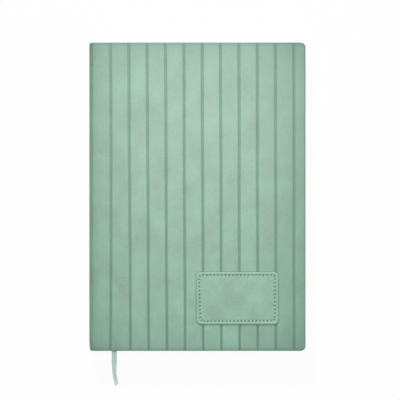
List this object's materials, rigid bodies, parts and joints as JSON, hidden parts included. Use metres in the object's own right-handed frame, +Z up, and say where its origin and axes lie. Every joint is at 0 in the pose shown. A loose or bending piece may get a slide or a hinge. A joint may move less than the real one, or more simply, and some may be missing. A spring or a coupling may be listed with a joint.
{
  "type": "notebook",
  "caption": "Closed soft-cover notebook with grooved leather-like covers that open, a sewn blank patch on the front, bound leaves and a ribbon marker.",
  "frame": {"origin": "centre of the closed notebook's footprint, on the surface that it lies on", "axes": "+X from spine to fore-edge, +Y from tail to head, +Z up through the pages to the front cover"},
  "size_m": [0.1474, 0.2352, 0.015],
  "materials": {
    "cover_leather": "matte sage-green soft-touch leather cloth, lightly mottled",
    "patch_leather": "matte sage-green soft-touch leather cloth",
    "cover_card": "plain grey-brown card",
    "endpaper": "uncoated cream endpaper",
    "pages": "uncoated cream paper, cut edges",
    "lining": "open-weave lining cloth with paper",
    "thread": "twisted sewing thread",
    "ribbon": "narrow woven satin ribbon"
  },
  "bodies": {
    "book_block": {"page_block": "pages", "spine_lining": "lining", "front_flyleaf": "endpaper", "back_flyleaf": "endpaper", "spine_card": "cover_card", "spine_leather": "cover_leather", "bookmark_ribbon": "ribbon"},
    "front_cover": {"front_cover_leather": "cover_leather", "front_card": "cover_card", "front_pastedown": "endpaper", "label_patch": "patch_leather", "label_thread": "thread"},
    "back_cover": {"back_cover_leather": "cover_leather", "back_card": "cover_card", "back_pastedown": "endpaper"}
  },
  "joints": [
    {"name": "front_cover_hinge", "type": "hinge", "parent": "book_block", "child": "front_cover", "pos_m": [-0.0737, 0, 0.0108], "axis": [0, -1, 0], "range_deg": [0, 180]},
    {"name": "back_cover_hinge", "type": "hinge", "parent": "book_block", "child": "back_cover", "pos_m": [-0.0737, 0, 0.0032], "axis": [0, 1, 0], "range_deg": [0, 180]}
  ]
}
